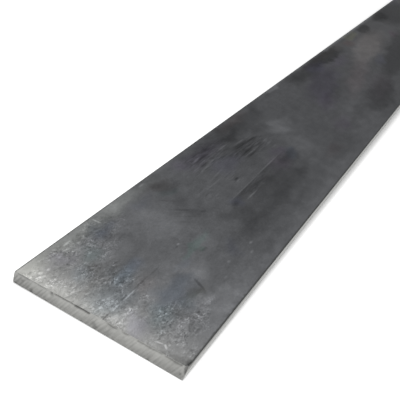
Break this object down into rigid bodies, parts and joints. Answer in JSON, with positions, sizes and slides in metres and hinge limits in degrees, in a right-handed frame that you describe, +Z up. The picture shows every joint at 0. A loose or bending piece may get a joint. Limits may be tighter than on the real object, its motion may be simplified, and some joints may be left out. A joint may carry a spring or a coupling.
{
  "type": "steel flat bar",
  "caption": "Long flat bar of hot-rolled steel with crowned rolled edges, rounded arrises and square sawn ends.",
  "frame": {"origin": "middle of the underside, where the bar rests on the floor", "axes": "+X across the width, +Y along the length, +Z up through the thickness"},
  "size_m": [0.08, 1, 0.006],
  "materials": {
    "rolled_steel": "hot-rolled, dark blue-grey mill scale with a satin sheen, rubbed light grey near the sawn end, bare grey saw cuts"
  },
  "bodies": {
    "root": {"flat_bar": "rolled_steel"}
  },
  "joints": []
}
